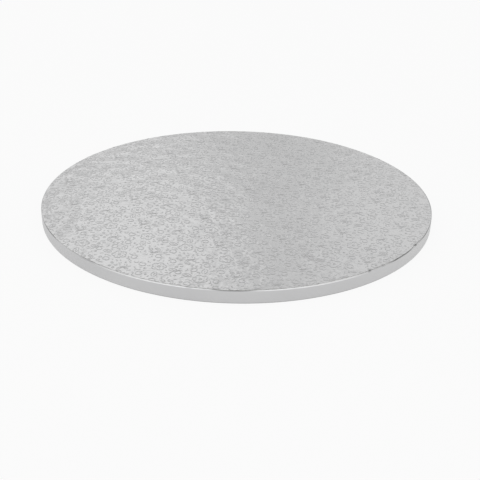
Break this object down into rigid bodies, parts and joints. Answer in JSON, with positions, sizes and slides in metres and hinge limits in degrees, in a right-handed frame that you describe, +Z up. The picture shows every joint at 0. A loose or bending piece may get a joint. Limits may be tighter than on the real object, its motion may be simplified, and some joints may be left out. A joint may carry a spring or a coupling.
{
  "type": "cake board",
  "caption": "Thick round board that carries a cake, with an embossed silver foil top, a smooth foil side and a plain paper underside.",
  "frame": {"origin": "centre of the underside, where the board rests on a table", "axes": "+Z up through the middle of the board, towards the embossed top; X and Y lie across the board"},
  "size_m": [0.3556, 0.3556, 0.012],
  "materials": {
    "card": "raw pressed card",
    "smooth_foil": "smooth satin foil on paper",
    "embossed_foil": "satin foil on paper, finely embossed",
    "white_paper": "matt uncoated paper"
  },
  "bodies": {
    "root": {"core_board": "card", "edge_band": "smooth_foil", "top_foil": "embossed_foil", "base_paper": "white_paper"}
  },
  "joints": []
}
